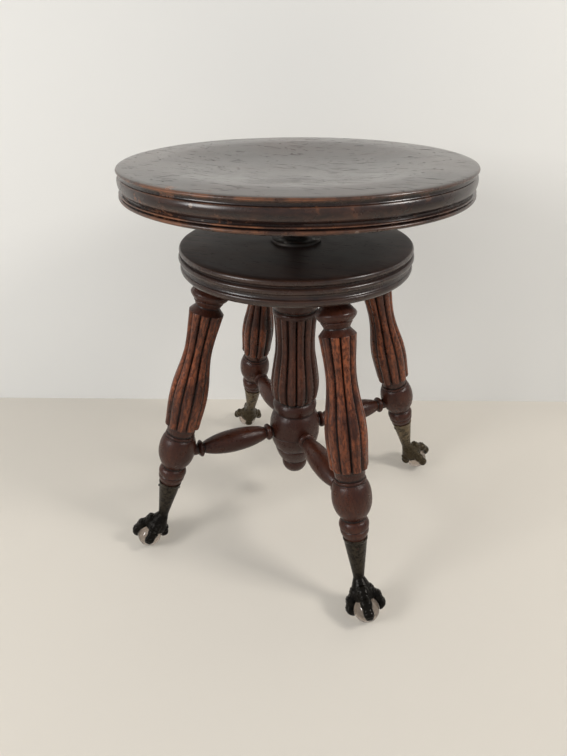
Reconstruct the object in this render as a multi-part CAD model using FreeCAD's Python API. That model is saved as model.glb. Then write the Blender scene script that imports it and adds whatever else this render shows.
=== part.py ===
import FreeCAD, Part
import math
import os

# Revolving piano stool with claw-and-ball feet. Millimetres, +Z up.
# The origin is on the floor, on the screw's axis. The legs stand on the diagonals.
V = FreeCAD.Vector
UP = V(0, 0, 1)
ORIGIN = V(0, 0, 0)

# Seat board
SEAT_R = 177.8
SEAT_TOP = 461.5
SEAT_THICK = 28.9
SEAT_BOTTOM = SEAT_TOP - SEAT_THICK
BOARD_SIDES = 44
DISH_R = 138.0
DISH_FLOOR_R = 104.0
DISH_DEPTH = 4.0

# Base disc
DISC_R = 127.3
DISC_TOP = 379.0
DISC_THICK = 27.0
DISC_BOTTOM = DISC_TOP - DISC_THICK

# Screw that carries the seat
SPINDLE_R = 9.0
RUNNING_GAP = 0.05
PITCH = 6.0
TURNS_DOWN = 3
TURNS_UP = 16
STOP_GAP = 1.5
HUB_R = 17.5
NUT_COLLAR_TOP = DISC_TOP + 6.0
HUB_BOTTOM = NUT_COLLAR_TOP + TURNS_DOWN * PITCH + STOP_GAP

# Nut plate let into the disc and the column
FLANGE_R = 27.0
FLANGE_THICK = 3.5
NUT_R = 13.5
NUT_LENGTH = 40.0
NUT_BOTTOM = DISC_TOP - NUT_LENGTH
NUT_SCREW_CIRCLE_R = 23.0

# Stop at the screw's lower end
WASHER_R = 11.8
WASHER_THICK = 3.0
WASHER_TOP = NUT_BOTTOM - TURNS_UP * PITCH - STOP_GAP
WASHER_BOTTOM = WASHER_TOP - WASHER_THICK
PIN_R = 2.0
PIN_TOP_GAP = 0.3
PIN_Z = WASHER_BOTTOM - PIN_TOP_GAP - PIN_R
PIN_LENGTH = 22.0
SPINDLE_BOTTOM = PIN_Z - 7.0
BORE_R = 12.6
BORE_BOTTOM = SPINDLE_BOTTOM - TURNS_DOWN * PITCH - 8.0

# Centre column
COLUMN_TENON_R = 19.0
COLUMN_REEDS = 14
COLUMN_SIDES = 18
REED_LAND = 0.74
REED_DEPTH = 0.09
ROUND_CUT = 13.0
COLUMN_BALL_Z = 131.8
COLUMN_BALL_R = 32.5
COLUMN_BOTTOM = 104.5
FINIAL_BOTTOM = 59.0
FINIAL_DOWEL_R = 8.0
FINIAL_DOWEL_LENGTH = 16.0

# Legs: measured along the leg from a point at LEG_TOP_Z, LEG_TOP_OUT from the axis
LEG_AZIMUTHS = {"front_right": -45.0, "back_right": 45.0, "back_left": 135.0, "front_left": 225.0}
LEG_SPLAY = 16.36
LEG_TOP_Z = 354.5
LEG_TOP_OUT = 93.0
LEG_TENON_R = 11.0
LEG_TENON_LENGTH = 18.0
LEG_SIDES = 12
LEG_REEDS = 10
REED_START = 49.0
REED_END = 187.0
CHAMFER_END = 197.0
FERRULE_TOP = 271.0
FERRULE_R = 13.8
SOCKET_R = 11.4
SOCKET_TIP_R = 8.2
SOCKET_DEPTH = 28.0

# Stretchers, level, from the column's ball to each leg's ball
STRETCHER_Z = 132.2
STRETCHER_TENON_R = 7.0
STRETCHER_INNER = 22.0
STRETCHER_OUTER = 146.0
STRETCHER_SIDES = 10

# Claw feet and glass balls
BALL_R = 14.6
BALL_OUT = 205.5
BALL_SIDES = 14
BALL_FLAT_R = 2.0
ANKLE_AT = 325.0
ANKLE_R = 6.3
BALL_GAP = 0.3
FOOT_SIDES = 12
FOOT_TURNS = {"front_right": -18.0, "back_right": 0.0, "back_left": 0.0, "front_left": 0.0}
TALON_START = 12.0
# Share of the way to the tip, height over the ball and half width: three knuckles, then the claw
TALON_STATIONS = [(0.0, 11.6, 6.0), (0.13, 13.2, 7.0), (0.28, 10.2, 5.8), (0.42, 11.0, 6.7),
                  (0.57, 8.6, 5.5), (0.71, 8.8, 6.0), (0.85, 6.6, 4.6), (1.0, 3.2, 2.4)]
# Web that joins the talons: radius and distance from the ball's centre, towards the ankle
WEB_RINGS = [(10.5, 27.0), (13.6, 20.5), (14.0, 14.0), (11.2, 11.2), (4.0, 15.3)]

# Wood screws of the spider and the nut plate, and the ferrules' nails
SCREW_R = 2.0
SCREW_HEAD_R = 4.2
SCREW_SIDES = 8
SPIDER_SCREW_LENGTH = 16.0
NUT_SCREW_LENGTH = 15.0
SPIDER_ARM_THICK = 5.0
SPIDER_ARM_REACH = 62.0
SPIDER_ARM_END_R = 9.0
NAIL_R = 1.5
NAIL_LENGTH = 7.0
NAIL_SIDES = 6
NAIL_AT = FERRULE_TOP + 9.0


def outline(steps):
    """Points (r, z) of a turned outline. A step of two numbers is a straight cut to (r, z);
    one of four is a rounded cut through (mid r, mid z) to (r, z), made of short chords."""
    points = [V(steps[0][0], 0, steps[0][1])]
    for step in steps[1:]:
        end = V(step[-2], 0, step[-1])
        if len(step) == 2:
            points.append(end)
            continue
        arc = Part.Arc(points[-1], V(step[0], 0, step[1]), end).toShape()
        chords = max(3, round(arc.Length / ROUND_CUT))
        points += arc.discretize(chords + 1)[1:]
    return points


def patch(a, b, c, d):
    """Flat faces over four corners: one where they lie in a plane, and else two triangles."""
    if abs((b - a).cross(d - a).dot(c - a)) < 1e-6:
        loops = [[a, b, c, d, a]]
    else:
        loops = [[a, b, c, a], [a, c, d, a]]
    return [Part.Face(Part.makePolygon(loop)) for loop in loops]


def skinned(rings):
    """Solid with flat faces between rings of corners that follow each other along it."""
    faces = [Part.Face(Part.makePolygon(ring + ring[:1])) for ring in (rings[0], rings[-1])]
    for ring, following in zip(rings, rings[1:]):
        for i in range(len(ring)):
            j = (i + 1) % len(ring)
            faces += patch(ring[i], ring[j], following[j], following[i])
    shell = Part.makeShell(faces)
    shell.sewShape()
    solid = Part.makeSolid(shell)
    return solid if solid.Volume > 0 else solid.reversed()


def turned(steps, sides):
    """Solid turned about Z, with flat sides, which keeps the pieces that repeat light."""
    return skinned([[on_circle(point.x, 360 * i / sides, point.z) for i in range(sides)]
                    for point in outline(steps)])


def rod(radius, z_low, z_high, at=ORIGIN):
    """Upright round rod."""
    return Part.makeCylinder(radius, z_high - z_low, V(at.x, at.y, z_low), UP)


def on_circle(radius, degrees, z=0.0):
    """Point on a circle about the Z axis."""
    turn = math.radians(degrees)
    return V(radius * math.cos(turn), radius * math.sin(turn), z)


def spun(shape, degrees):
    """Copy of a shape turned about the Z axis."""
    copy = shape.copy()
    copy.rotate(ORIGIN, UP, degrees)
    return copy


def reeded(stations, count):
    """Reeded body through (r, z) stations: flat reeds with V grooves between them."""
    turns = []
    for reed in range(count):
        turns += [(reed - REED_LAND / 2, 1.0), (reed + REED_LAND / 2, 1.0), (reed + 0.5, 1 - REED_DEPTH)]
    return skinned([[on_circle(r * share, 360 * turn / count, z) for turn, share in turns]
                    for r, z in stations])


def along_leg(shape):
    """Place a shape that was made down the Z axis on the leg's axis, at azimuth 0."""
    placed = shape.copy()
    placed.rotate(ORIGIN, V(0, 1, 0), -LEG_SPLAY)
    placed.translate(V(LEG_TOP_OUT, 0, LEG_TOP_Z))
    return placed


def leg_point(s):
    """Point on the leg's axis at azimuth 0, s along it from its top."""
    splay = math.radians(LEG_SPLAY)
    return V(LEG_TOP_OUT + s * math.sin(splay), 0, LEG_TOP_Z - s * math.cos(splay))


LEG_DIRECTION = (leg_point(1) - leg_point(0)).normalize()
LEG_TENON = along_leg(turned([(LEG_TENON_R, -5.0), (LEG_TENON_R, LEG_TENON_LENGTH)], LEG_SIDES))


def wood_screw(at, up, length):
    """Countersunk screw whose head is flush at the point given; it runs up or down the Z axis."""
    sink = SCREW_HEAD_R - SCREW_R
    screw = turned([(SCREW_HEAD_R, 0.0), (SCREW_R, sink), (SCREW_R, length)], SCREW_SIDES)
    if up.z < 0:
        screw.rotate(ORIGIN, V(1, 0, 0), 180)
    screw.translate(at)
    return screw


def spider_screws():
    """Four screws from the spider's arms up into the seat."""
    low = SEAT_BOTTOM - SPIDER_ARM_THICK
    return [wood_screw(on_circle(SPIDER_ARM_REACH, 45 + 90 * i, low), UP, SPIDER_SCREW_LENGTH)
            for i in range(4)]


def nut_screws():
    """Four screws from the nut plate's flange down into the disc."""
    high = DISC_TOP + FLANGE_THICK
    return [wood_screw(on_circle(NUT_SCREW_CIRCLE_R, 90 * i, high), -UP, NUT_SCREW_LENGTH)
            for i in range(4)]


def seat():
    """Turned seat board: dished top, and beads, grooves and an ovolo band round the edge."""
    t = SEAT_TOP
    r = SEAT_R
    board = turned([
        (DISH_FLOOR_R, t - DISH_DEPTH),
        (DISH_R - 14.0, t - 2.6, DISH_R, t),
        (r - 3.0, t),
        (r, t - 2.2),
        (r - 0.6, t - 5.0),
        (r - 3.4, t - 6.4),
        (r - 0.2, t - 9.6),
        (r - 0.2, t - 15.2),
        (r - 3.2, t - 20.0),
        (r - 0.2, t - 21.6),
        (r - 2.4, t - 24.0),
        (r + 0.4, t - 25.4),
        (r - 2.6, t - SEAT_THICK),
    ], BOARD_SIDES)
    return board.cut(Part.makeCompound(spider_screws()))


def base_disc():
    """Turned disc with a moulded edge, bored for the column and for the legs' tenons."""
    t = DISC_TOP
    r = DISC_R
    board = turned([
        (r - 4.2, t),
        (r - 1.3, t - 2.0),
        (r - 1.6, t - 5.6),
        (r - 3.8, t - 7.8),
        (r, t - 10.2),
        (r - 0.8, t - 13.6),
        (r - 3.6, t - 14.6),
        (r - 3.4, t - 18.6),
        (r - 1.0, t - 20.8),
        (r - 1.4, t - 24.8),
        (r - 3.4, t - DISC_THICK),
    ], BOARD_SIDES)
    board = board.cut(turned([(COLUMN_TENON_R, DISC_BOTTOM), (COLUMN_TENON_R, DISC_TOP)], COLUMN_SIDES))
    tenons = [spun(LEG_TENON, azimuth) for azimuth in LEG_AZIMUTHS.values()]
    return board.cut(Part.makeCompound(tenons + nut_screws()))


def seat_spider():
    """Cast hub with four ribbed arms that carries the seat on the screw."""
    top = SEAT_BOTTOM
    arm_low = top - SPIDER_ARM_THICK
    hub = turned([(HUB_R, HUB_BOTTOM), (HUB_R, HUB_BOTTOM + 6.0), (HUB_R + 2.0, arm_low - 5.0),
                  (HUB_R + 6.5, arm_low), (HUB_R + 6.5, top)], COLUMN_SIDES)
    half = SPIDER_ARM_END_R
    tip = SPIDER_ARM_REACH + half
    plan = [V(0, HUB_R, arm_low), V(SPIDER_ARM_REACH, half, arm_low), V(tip, half * 0.4, arm_low),
            V(tip, -half * 0.4, arm_low), V(SPIDER_ARM_REACH, -half, arm_low), V(0, -HUB_R, arm_low)]
    arm = Part.Face(Part.makePolygon(plan + plan[:1])).extrude(V(0, 0, SPIDER_ARM_THICK))
    rib_half = 2.5
    rib = Part.Face(Part.makePolygon([
        V(0, -rib_half, HUB_BOTTOM + 3.0), V(HUB_R, -rib_half, HUB_BOTTOM + 3.0),
        V(SPIDER_ARM_REACH - 12.0, -rib_half, arm_low), V(0, -rib_half, arm_low),
        V(0, -rib_half, HUB_BOTTOM + 3.0),
    ])).extrude(V(0, 2 * rib_half, 0))
    arms = [spun(piece, 45 + 90 * i) for i in range(4) for piece in (arm, rib)]
    body = hub.multiFuse(arms).removeSplitter()
    return body.cut(Part.makeCompound([rod(SPINDLE_R, HUB_BOTTOM, top)] + spider_screws()))


def spindle():
    """Steel screw, from the seat's underside to its stop pin inside the column."""
    return rod(SPINDLE_R, SPINDLE_BOTTOM, SEAT_BOTTOM).cut(stop_pin())


def stop_pin():
    """Cross pin under the stop washer."""
    pin = turned([(PIN_R, -PIN_LENGTH / 2), (PIN_R, PIN_LENGTH / 2)], SCREW_SIDES)
    pin.rotate(ORIGIN, V(0, 1, 0), 90)
    pin.translate(V(0, 0, PIN_Z))
    return pin


def stop_washer():
    """Loose washer that meets the nut when the seat is wound right up."""
    ring = turned([(WASHER_R, WASHER_BOTTOM), (WASHER_R, WASHER_TOP)], COLUMN_SIDES)
    return ring.cut(rod(SPINDLE_R + RUNNING_GAP, WASHER_BOTTOM, WASHER_TOP))


def nut_plate():
    """Iron nut: a long barrel in the column and a flange screwed to the disc."""
    body = turned([
        (SPINDLE_R + 4.0, NUT_COLLAR_TOP),
        (SPINDLE_R + 6.0, DISC_TOP + FLANGE_THICK),
        (FLANGE_R - 1.5, DISC_TOP + FLANGE_THICK),
        (FLANGE_R, DISC_TOP + FLANGE_THICK - 1.5),
        (FLANGE_R, DISC_TOP),
        (NUT_R, DISC_TOP),
        (NUT_R, NUT_BOTTOM),
    ], COLUMN_SIDES)
    hole = rod(SPINDLE_R + RUNNING_GAP, NUT_BOTTOM, NUT_COLLAR_TOP)
    return body.cut(Part.makeCompound([hole] + nut_screws()))


def center_column():
    """Reeded vase with a cup above, a collar and a ball below, bored for the screw."""
    reed_top = 293.0
    reed_end = 177.5
    top = turned([
        (COLUMN_TENON_R, DISC_TOP),
        (COLUMN_TENON_R, DISC_BOTTOM),
        (24.0, DISC_BOTTOM),
        (24.0, 346.0),
        (29.5, 340.0),
        (32.0, 326.0, 29.8, 310.0),
        (25.2, 301.0),
        (26.8, 298.0),
        (26.8, reed_top),
    ], COLUMN_SIDES)
    reeds = reeded([(26.2, reed_top), (24.6, 281.0), (23.7, 258.0), (25.6, 236.0), (29.2, 214.0),
                    (30.5, 197.0), (29.2, 184.0), (26.6, reed_end)], COLUMN_REEDS)
    low = turned([
        (24.2, reed_end),
        (24.2, 174.6),
        (27.8, 167.0, 26.2, 160.0),
        (25.4, 158.7),
        (COLUMN_BALL_R, COLUMN_BALL_Z, 26.4, COLUMN_BOTTOM),
    ], COLUMN_SIDES)
    body = top.multiFuse([reeds, low]).removeSplitter()
    sockets = [spun(stretcher_tenon(STRETCHER_INNER, 40.0), azimuth)
               for azimuth in LEG_AZIMUTHS.values()]
    bores = [turned([(NUT_R, NUT_BOTTOM), (NUT_R, DISC_TOP)], COLUMN_SIDES),
             turned([(BORE_R, BORE_BOTTOM), (BORE_R, NUT_BOTTOM)], COLUMN_SIDES),
             rod(FINIAL_DOWEL_R, COLUMN_BOTTOM, COLUMN_BOTTOM + FINIAL_DOWEL_LENGTH)]
    return body.cut(Part.makeCompound(bores + sockets))


def drop_finial():
    """Turned drop under the column, with a dowel up into it."""
    z = COLUMN_BOTTOM
    bulb_r = 16.6
    centre = FINIAL_BOTTOM + bulb_r
    drop = turned([
        (25.8, z),
        (23.2, z - 12.0, 17.6, z - 22.0),
        (15.4, z - 23.6),
        (bulb_r, centre, bulb_r * 0.78, centre - bulb_r * 0.62),
        (bulb_r * 0.5, centre - bulb_r * 0.87),
        (bulb_r * 0.2, FINIAL_BOTTOM),
    ], COLUMN_SIDES)
    return drop.fuse(rod(FINIAL_DOWEL_R, z, z + FINIAL_DOWEL_LENGTH))


def stretcher_tenon(inner, outer):
    """Round tenon along a stretcher's axis, at azimuth 0."""
    tenon = turned([(STRETCHER_TENON_R, inner), (STRETCHER_TENON_R, outer)], STRETCHER_SIDES)
    tenon.rotate(ORIGIN, V(0, 1, 0), 90)
    tenon.translate(V(0, 0, STRETCHER_Z))
    return tenon


def stretcher():
    """Cigar-shaped turning with a bead at each end, at azimuth 0."""
    body = turned([
        (STRETCHER_TENON_R, 34.0),
        (10.6, 36.2),
        (10.6, 39.4),
        (7.2, 41.6),
        (14.6, 82.0, 7.2, 123.6),
        (10.6, 125.4),
        (10.6, 128.2),
        (STRETCHER_TENON_R, 130.4),
    ], STRETCHER_SIDES)
    body.rotate(ORIGIN, V(0, 1, 0), 90)
    body.translate(V(0, 0, STRETCHER_Z))
    return body.fuse(stretcher_tenon(STRETCHER_INNER, STRETCHER_OUTER)).removeSplitter()


def leg(foot_turn):
    """Leg turning at azimuth 0: mushroom cap, reeded vase, ball, collar and ferrule tenon."""
    top = turned([
        (16.4, 6.0),
        (16.4, -5.0),
        (20.9, -19.0, 18.2, -29.5),
        (13.2, -38.0),
        (19.4, -44.5),
        (19.2, -REED_START),
    ], LEG_SIDES)
    reeds = reeded([(18.8, -REED_START), (16.4, -76.0), (17.2, -103.0), (21.0, -127.0),
                    (22.7, -148.0), (21.3, -REED_END), (17.4, -CHAMFER_END)], LEG_REEDS)
    low = turned([
        (16.0, -CHAMFER_END),
        (16.0, -200.0),
        (22.0, -223.0, 14.8, -244.6),
        (13.2, -247.4),
        (16.8, -256.0, 14.2, -266.5),
        (13.4, -FERRULE_TOP),
        (SOCKET_R, -FERRULE_TOP),
        (SOCKET_TIP_R, -FERRULE_TOP - SOCKET_DEPTH),
    ], LEG_SIDES)
    body = along_leg(top.multiFuse([reeds, low]).removeSplitter())
    above = Part.makeBox(200, 200, 100, V(0, -100, DISC_BOTTOM))
    body = body.cut(above).fuse(LEG_TENON).removeSplitter()
    return body.cut(Part.makeCompound([stretcher_tenon(120.0, STRETCHER_OUTER)] + nails_of_foot(foot_turn)))


def nails_of_foot(foot_turn):
    """Two nails through the ferrule into the leg's end, outward and inward, at azimuth 0."""
    nails = []
    for side in (1, -1):
        nail = turned([(NAIL_R, 0.0), (NAIL_R, NAIL_LENGTH)], NAIL_SIDES)
        nail.translate(V(0, 0, FERRULE_R + 0.4 - NAIL_LENGTH))
        nail.rotate(ORIGIN, V(0, 1, 0), side * 90)
        nail.translate(V(0, 0, -NAIL_AT))
        nails.append(along_leg(spun(nail, foot_turn)))
    return nails


BALL_CENTRE = V(BALL_OUT, 0, BALL_R)
ANKLE = leg_point(ANKLE_AT)
POLE = (ANKLE - BALL_CENTRE).normalize()


def talon(ending, sweep, first_knuckle):
    """Talon over the ball, from the ankle towards the direction given. Its six-sided section
    rises to a ridge, swells at the knuckles and narrows to the claw's tip."""
    side = POLE.cross(ending).normalize()
    rings = []
    for share, height, width in TALON_STATIONS:
        turn = math.radians(TALON_START + (sweep - TALON_START) * share)
        out = POLE * math.cos(turn) + side.cross(POLE) * math.sin(turn)
        rise = first_knuckle * math.exp(-((share - 0.12) / 0.12) ** 2)
        rings.append([
            BALL_CENTRE + out * (BALL_R + BALL_GAP + (height + rise) * up) + side * (width * across)
            for across, up in ((-0.8, 0.0), (0.8, 0.0), (1.0, 0.42), (0.3, 1.0), (-0.3, 1.0), (-1.0, 0.42))
        ])
    return skinned(rings)


def ring_of(radius, centre, axis, sides):
    """Corners of a round ring about an axis, the first one on its +Y side."""
    across = V(0, 1, 0)
    up = axis.cross(across).normalize()
    turns = [2 * math.pi * i / sides for i in range(sides)]
    return [centre + across * (radius * math.cos(turn)) + up * (radius * math.sin(turn))
            for turn in turns]


def claw_foot(foot_turn):
    """Cast foot at azimuth 0: ferrule, ankle, web and four talons that hold the glass ball.
    The talons are turned about the line from the ball to the ankle, as the foot was fitted."""
    ferrule = along_leg(turned([
        (FERRULE_R, -FERRULE_TOP),
        (FERRULE_R, -FERRULE_TOP - 3.4),
        (FERRULE_R - 0.9, -FERRULE_TOP - 4.4),
        (ANKLE_R, -ANKLE_AT),
        (ANKLE_R + 1.4, -ANKLE_AT - 6.0),
    ], LEG_SIDES))
    web = skinned([ring_of(ANKLE_R, ANKLE - LEG_DIRECTION * 2, -LEG_DIRECTION, FOOT_SIDES)] + [
        ring_of(radius, BALL_CENTRE + POLE * distance, POLE, FOOT_SIDES) for radius, distance in WEB_RINGS
    ])
    talons = [talon(V(1, 0, -0.05), 121, 3.4), talon(V(-1, 0, -0.34), 70, 0.4),
              talon(V(0.4, 1, -0.3), 102, 0.6), talon(V(0.4, -1, -0.3), 102, 0.6)]
    for shape in talons:
        shape.rotate(BALL_CENTRE, POLE, foot_turn)
    body = ferrule.multiFuse([web] + talons).removeSplitter()
    socket = along_leg(turned([(SOCKET_R, -FERRULE_TOP),
                               (SOCKET_TIP_R, -FERRULE_TOP - SOCKET_DEPTH)], LEG_SIDES))
    return body.cut(Part.makeCompound([socket] + nails_of_foot(foot_turn)))


def glass_ball():
    """Glass ball at azimuth 0, on the floor, with a small flat at each pole."""
    rows = BALL_SIDES // 2
    turns = [math.pi * i / rows for i in range(rows + 1)]
    ball = turned([(max(BALL_R * math.sin(turn), BALL_FLAT_R), -BALL_R * math.cos(turn))
                   for turn in turns], BALL_SIDES)
    ball.translate(BALL_CENTRE)
    return ball


def save(node, *solids):
    """Write a node's solids to its own file."""
    shape = solids[0] if len(solids) == 1 else Part.makeCompound(solids)
    count = len(shape.Solids)
    print(f"{node}: {count} solid(s), valid {shape.isValid()}, {shape.Volume / 1000:.1f} cm3")
    shape.exportStep(f"parts/{node}.step")


os.makedirs("parts", exist_ok=True)
save("seat", seat())
save("seat_spider", seat_spider())
save("spider_screws", *spider_screws())
save("spindle", spindle())
save("stop_pin", stop_pin())
save("stop_washer", stop_washer())
save("nut_plate", nut_plate())
save("nut_plate_screws", *nut_screws())
save("base_disc", base_disc())
save("center_column", center_column())
save("drop_finial", drop_finial())
save("glass_balls", *[spun(glass_ball(), azimuth) for azimuth in LEG_AZIMUTHS.values()])
save("ferrule_nails", *[spun(nail, azimuth) for place, azimuth in LEG_AZIMUTHS.items()
                        for nail in nails_of_foot(FOOT_TURNS[place])])
for place, azimuth in LEG_AZIMUTHS.items():
    save(f"leg_{place}", spun(leg(FOOT_TURNS[place]), azimuth))
    save(f"stretcher_{place}", spun(stretcher(), azimuth))
    save(f"claw_foot_{place}", spun(claw_foot(FOOT_TURNS[place]), azimuth))
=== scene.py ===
"""Looks of the revolving piano stool: turned and reeded wood, a steel screw, claw-and-ball feet."""

from __future__ import annotations

import logging
import math
from dataclasses import dataclass, field
from enum import Enum
from typing import Iterable, Sequence

import bmesh
import bpy
from mathutils import Matrix, Vector, noise

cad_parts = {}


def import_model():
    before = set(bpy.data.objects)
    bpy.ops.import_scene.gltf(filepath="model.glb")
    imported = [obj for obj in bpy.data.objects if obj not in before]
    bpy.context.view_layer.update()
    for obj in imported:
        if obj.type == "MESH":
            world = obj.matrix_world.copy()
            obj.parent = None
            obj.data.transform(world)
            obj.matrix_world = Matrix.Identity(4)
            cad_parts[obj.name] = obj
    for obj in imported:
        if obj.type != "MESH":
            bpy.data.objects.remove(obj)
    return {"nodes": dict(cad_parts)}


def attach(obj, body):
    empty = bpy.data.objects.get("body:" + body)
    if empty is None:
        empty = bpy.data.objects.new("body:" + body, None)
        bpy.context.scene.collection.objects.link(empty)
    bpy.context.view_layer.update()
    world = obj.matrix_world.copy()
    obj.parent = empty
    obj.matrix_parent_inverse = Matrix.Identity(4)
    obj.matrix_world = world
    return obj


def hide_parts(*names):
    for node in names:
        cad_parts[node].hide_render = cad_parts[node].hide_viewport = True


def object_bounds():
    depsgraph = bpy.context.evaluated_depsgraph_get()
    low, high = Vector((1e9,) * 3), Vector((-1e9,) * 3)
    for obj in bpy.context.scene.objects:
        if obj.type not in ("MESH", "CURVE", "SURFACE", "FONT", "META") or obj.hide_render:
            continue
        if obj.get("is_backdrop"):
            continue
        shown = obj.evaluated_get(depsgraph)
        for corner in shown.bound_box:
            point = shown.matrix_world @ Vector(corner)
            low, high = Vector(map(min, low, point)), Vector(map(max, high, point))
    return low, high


LOG = logging.getLogger("stool")
MM = 0.001
UP = Vector((0.0, 0.0, 1.0))
WORN_SIDE = -92.0
WORN_SPREAD = 38.0
Colour = tuple[float, float, float]
Value = bpy.types.NodeSocket | float


class Body(Enum):
    """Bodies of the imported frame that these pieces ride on."""

    BASE = "base"
    SEAT = "seat"


class Corner(Enum):
    """The four legs, with the azimuth of each in degrees."""

    FRONT_RIGHT = -45.0
    BACK_RIGHT = 45.0
    BACK_LEFT = 135.0
    FRONT_LEFT = 225.0

    @property
    def label(self) -> str:
        """Name of the corner as the nodes spell it."""
        return self.name.lower()


def azimuth(vector: Vector) -> float:
    """Angle of a vector about Z, in radians."""
    return math.atan2(vector.y, vector.x)


def turn_z(angle: float) -> Matrix:
    """Rotation about Z by an angle in degrees."""
    return Matrix.Rotation(math.radians(angle), 4, "Z")


def settle(mesh: bmesh.types.BMesh, name: str) -> bpy.types.Mesh:
    """Mesh data of a bmesh, which is freed.

    Args:
        mesh: Mesh to turn into data.
        name: Name of the data.

    Returns:
        The mesh data.
    """
    data = bpy.data.meshes.new(name)
    mesh.to_mesh(data)
    mesh.free()
    return data


def absorb(mesh: bmesh.types.BMesh, part: bmesh.types.BMesh) -> None:
    """Add a part to a mesh, and free the part.

    Args:
        mesh: Mesh that keeps the part.
        part: Mesh that is freed.
    """
    data = settle(part, "part")
    mesh.from_mesh(data)
    bpy.data.meshes.remove(data)


def show(name: str, data: bpy.types.ID) -> bpy.types.Object:
    """New object of a mesh, a lamp or a camera, linked to the scene.

    Args:
        name: Name of the object.
        data: Its mesh, lamp or camera.

    Returns:
        The object.
    """
    item = bpy.data.objects.new(name, data)
    bpy.context.scene.collection.objects.link(item)
    return item


def everything(mesh: bmesh.types.BMesh) -> list:
    """Vertices, edges and faces of a mesh."""
    return mesh.verts[:] + mesh.edges[:] + mesh.faces[:]


def smooth_through(stations: Sequence[Vector], parts: int) -> list[Vector]:
    """Points of a smooth curve through stations, after the first station.

    Args:
        stations: Points that the curve passes through.
        parts: Straight parts between two stations.

    Returns:
        The points in order.
    """
    knots = [2 * stations[0] - stations[1], *stations, 2 * stations[-1] - stations[-2]]
    points = []
    for a, b, c, d in zip(knots, knots[1:], knots[2:], knots[3:]):
        for i in range(1, parts + 1):
            t = i / parts
            points.append(0.5 * (2 * b + (c - a) * t + (2 * a - 5 * b + 4 * c - d) * t**2
                                 + (3 * b - a - 3 * c + d) * t**3))
    return points


def smooth_step(low: float, high: float, value: float) -> float:
    """Share from 0 at low to 1 at high, with soft ends."""
    share = min(1.0, max(0.0, (value - low) / (high - low)))
    return share * share * (3.0 - 2.0 * share)


class Outline:
    """Outline of a turned piece, as (radius, height) points in millimetres."""

    def __init__(self, radius: float, height: float) -> None:
        """Start the outline at a point."""
        self.points: list[Vector] = [Vector((radius, height))]

    def line(self, *stations: tuple[float, float]) -> "Outline":
        """Add straight cuts to each station.

        Args:
            stations: (radius, height) pairs.

        Returns:
            The outline itself.
        """
        for station in stations:
            self.points.append(Vector(station))
        return self

    def flow(self, *stations: tuple[float, float], parts: int = 4) -> "Outline":
        """Add a smooth curve from the last point through each station.

        Args:
            stations: (radius, height) pairs that the curve passes through.
            parts: Straight parts between two stations.

        Returns:
            The outline itself.
        """
        knots = [self.points[-1]] + [Vector(station) for station in stations]
        self.points += smooth_through(knots, parts)
        return self

    def divided(self, longest: float) -> list[Vector]:
        """Points of the outline, with long straight parts cut up.

        Args:
            longest: Longest part to leave whole, in millimetres.

        Returns:
            The points in order.
        """
        result = [self.points[0]]
        for low, high in zip(self.points, self.points[1:]):
            cuts = max(1, math.ceil((high - low).length / longest))
            result += [low.lerp(high, i / cuts) for i in range(1, cuts + 1)]
        return result


@dataclass
class Lathe:
    """Turns outlines about Z into closed meshes, in millimetres."""

    sides: int = 96
    longest: float = 4.0

    def turn(self, outline: Outline) -> bmesh.types.BMesh:
        """Spin an outline through a full turn.

        Args:
            outline: Outline that starts and ends on the axis.

        Returns:
            The turned mesh.
        """
        mesh = bmesh.new()
        verts = [mesh.verts.new((p.x, 0.0, p.y)) for p in outline.divided(self.longest)]
        edges = [mesh.edges.new(pair) for pair in zip(verts, verts[1:])]
        bmesh.ops.spin(mesh, geom=verts + edges, cent=(0, 0, 0), axis=UP, dvec=(0, 0, 0),
                       angle=math.tau, steps=self.sides, use_merge=True, use_duplicate=False)
        bmesh.ops.remove_doubles(mesh, verts=mesh.verts, dist=1e-4)
        bmesh.ops.dissolve_degenerate(mesh, dist=1e-5, edges=mesh.edges)
        bmesh.ops.recalc_face_normals(mesh, faces=mesh.faces)
        return mesh


@dataclass(frozen=True)
class Reeding:
    """Rounded reeds with V grooves between them, cut round a turned piece."""

    count: int
    depth: float
    groove: float
    top: float
    bottom: float
    core: float
    rounding: float = 0.9

    def carve(self, mesh: bmesh.types.BMesh) -> None:
        """Cut the reeds; note each vertex's depth in a groove as "carve", and the lands as "land".

        Args:
            mesh: Turned mesh about Z, in millimetres.
        """
        layer = mesh.verts.layers.float.new("carve")
        worn = mesh.verts.layers.float.new("land")
        half_land = math.pi * (1.0 - self.groove) / self.count
        for vert in mesh.verts:
            radius = math.hypot(vert.co.x, vert.co.y)
            if not self.bottom <= vert.co.z <= self.top or radius < 0.8 * self.core:
                continue
            turn = azimuth(vert.co) * self.count / math.tau
            off = abs(turn - round(turn)) * math.tau / self.count
            land = radius - self.rounding * min(1.0, off / half_land) ** 2
            share = smooth_step(half_land * 0.9, math.pi / self.count, off)
            cut = max(self.core, land - self.depth * share)
            new_radius = min(land, cut)
            vert[layer] = share * min(1.0, max(0.0, (land - new_radius) / self.depth * 1.2))
            vert[worn] = 1.0 - vert[layer]
            vert.co.x *= new_radius / radius
            vert.co.y *= new_radius / radius


def wander(mesh: bmesh.types.BMesh, amount: float, size: float, seed: float) -> None:
    """Move vertices inwards a little, as hand work and wear leave a surface.

    Args:
        mesh: Mesh in millimetres.
        amount: Greatest move in millimetres.
        size: Size of the waves in millimetres.
        seed: Number that makes this piece's waves its own.
    """
    shift = Vector((seed * 7.3, seed * 3.1, seed * 5.7))
    mesh.normal_update()
    for vert in mesh.verts:
        vert.co += vert.normal * (noise.noise(vert.co / size + shift) - 1.0) * 0.5 * amount


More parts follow.
